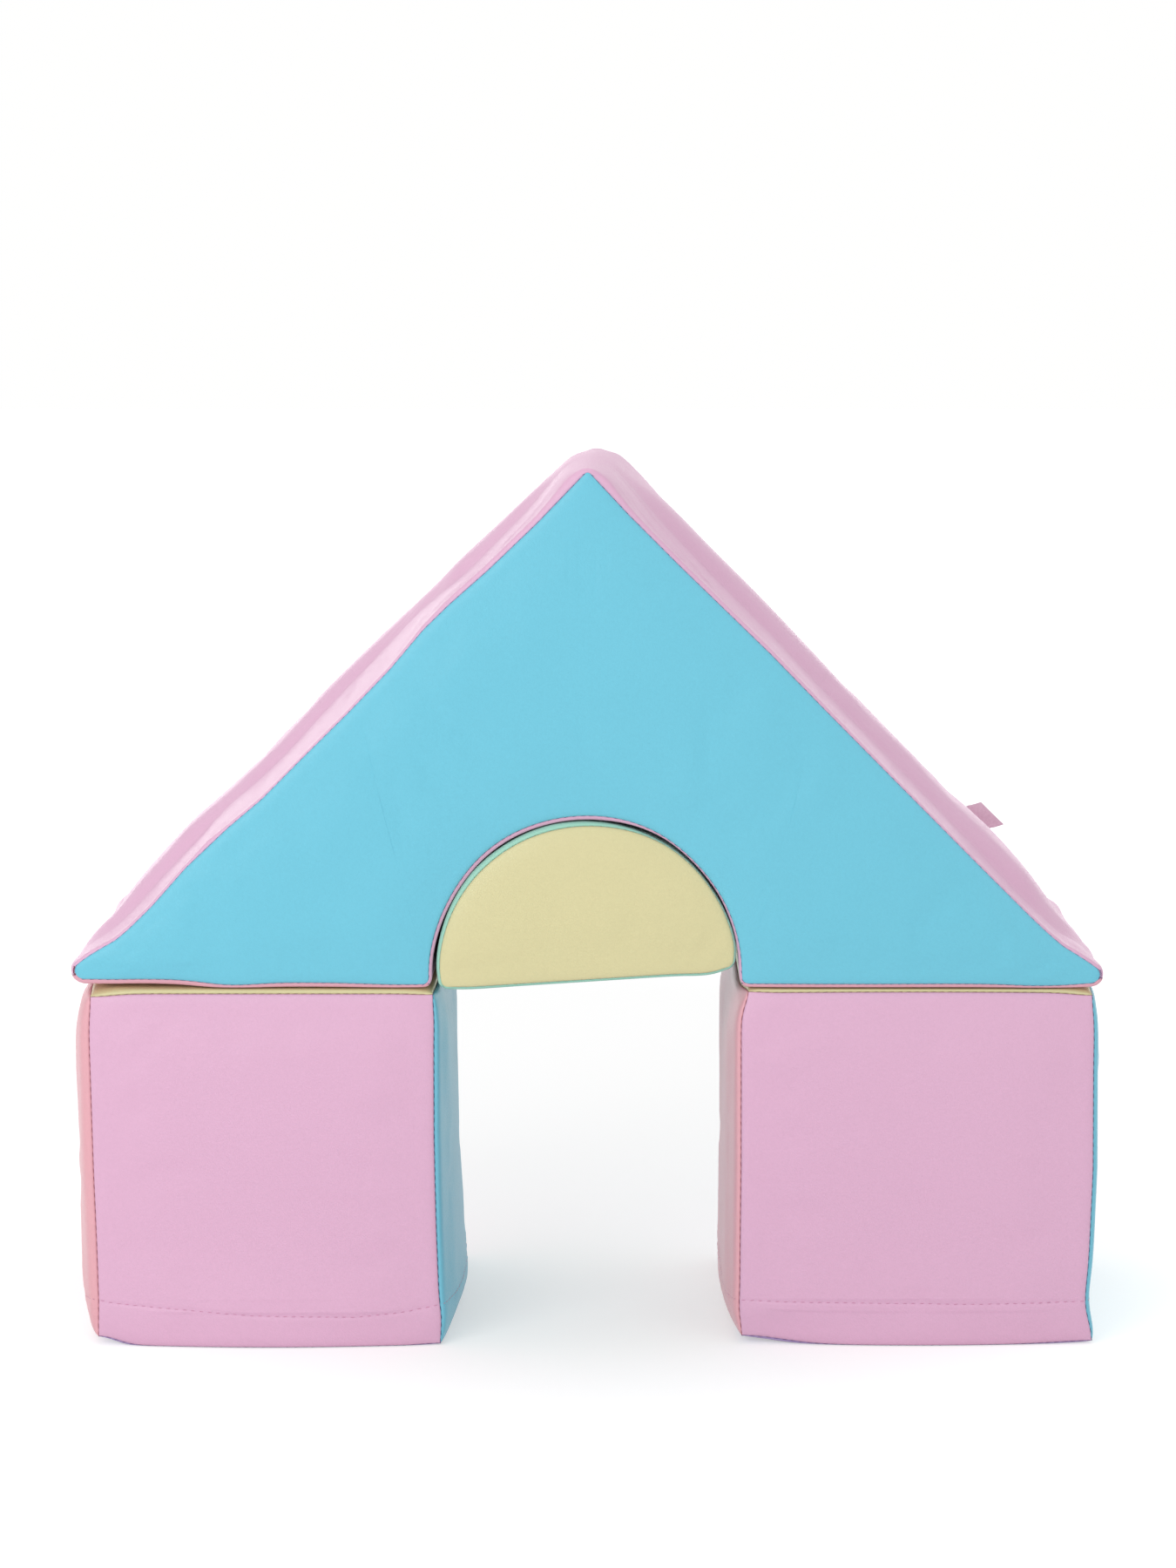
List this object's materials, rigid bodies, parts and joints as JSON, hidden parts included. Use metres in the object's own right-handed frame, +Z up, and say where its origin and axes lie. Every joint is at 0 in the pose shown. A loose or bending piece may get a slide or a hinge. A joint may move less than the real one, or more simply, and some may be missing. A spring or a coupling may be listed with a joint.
{
  "type": "soft play house set",
  "caption": "Soft play foam house: cubes as walls, an arched triangular roof block and a half-round block wedged in its arch, all in sewn faux-leather covers.",
  "frame": {"origin": "on the floor under the middle of the house, at the centre of the box round all the blocks", "axes": "+X to the right as seen from the front, +Y into the depth away from the front, +Z up"},
  "size_m": [0.5842, 0.213, 0.5016],
  "materials": {
    "foam": "matte",
    "pink_cover": "satin",
    "coral_cover": "satin",
    "aqua_cover": "satin",
    "blue_cover": "satin",
    "yellow_cover": "satin",
    "lilac_cover": "satin",
    "mint_cover": "satin",
    "salmon_cover": "satin",
    "zip_tape": "matte",
    "slider_metal": "satin",
    "ribbon": "satin"
  },
  "bodies": {
    "left_cube": {"left_cube_foam_core": "foam", "left_cube_front_panel": "pink_cover", "left_cube_back_panel": "pink_cover", "left_cube_left_side_panel": "coral_cover", "left_cube_right_side_panel": "aqua_cover", "left_cube_top_panel": "yellow_cover", "left_cube_base_panel": "lilac_cover", "left_cube_zip": "zip_tape"},
    "left_cube_slider": {"left_cube_zip_slider": "slider_metal"},
    "right_cube": {"right_cube_foam_core": "foam", "right_cube_front_panel": "pink_cover", "right_cube_back_panel": "pink_cover", "right_cube_left_side_panel": "coral_cover", "right_cube_right_side_panel": "aqua_cover", "right_cube_top_panel": "yellow_cover", "right_cube_base_panel": "lilac_cover", "right_cube_zip": "zip_tape"},
    "right_cube_slider": {"right_cube_zip_slider": "slider_metal"},
    "roof": {"roof_foam_core": "foam", "roof_front_panel": "blue_cover", "roof_back_panel": "blue_cover", "roof_slope_gusset": "pink_cover", "roof_arch_lining": "pink_cover", "roof_left_base_strip": "salmon_cover", "roof_right_base_strip": "salmon_cover", "roof_loop_label": "ribbon", "roof_zip": "zip_tape"},
    "roof_slider": {"roof_zip_slider": "slider_metal"},
    "half_round": {"half_round_foam_core": "foam", "half_round_front_panel": "yellow_cover", "half_round_back_panel": "yellow_cover", "half_round_curved_strip": "mint_cover", "half_round_base_strip": "mint_cover", "half_round_zip": "zip_tape"},
    "half_round_slider": {"half_round_zip_slider": "slider_metal"}
  },
  "joints": [
    {"name": "roof_lift", "type": "slide", "parent": "left_cube", "child": "roof", "axis": [0, 0, 1], "range_m": [0, 0.32]},
    {"name": "half_round_slide", "type": "slide", "parent": "roof", "child": "half_round", "axis": [0, 1, 0], "range_m": [-0.22, 0.22]},
    {"name": "right_cube_slide", "type": "slide", "parent": "left_cube", "child": "right_cube", "axis": [1, 0, 0], "range_m": [-0.1, 0.21]},
    {"name": "left_cube_zip_run", "type": "slide", "parent": "left_cube", "child": "left_cube_slider", "axis": [-1, 0, 0], "range_m": [0, 0.1205]},
    {"name": "right_cube_zip_run", "type": "slide", "parent": "right_cube", "child": "right_cube_slider", "axis": [-1, 0, 0], "range_m": [0, 0.1205]},
    {"name": "roof_zip_run", "type": "slide", "parent": "roof", "child": "roof_slider", "axis": [-0.7143, 0, -0.6998], "range_m": [0, 0.2305]},
    {"name": "half_round_zip_run", "type": "slide", "parent": "half_round", "child": "half_round_slider", "axis": [-0.9979, 0, -0.0645], "range_m": [0, 0.0845]}
  ]
}
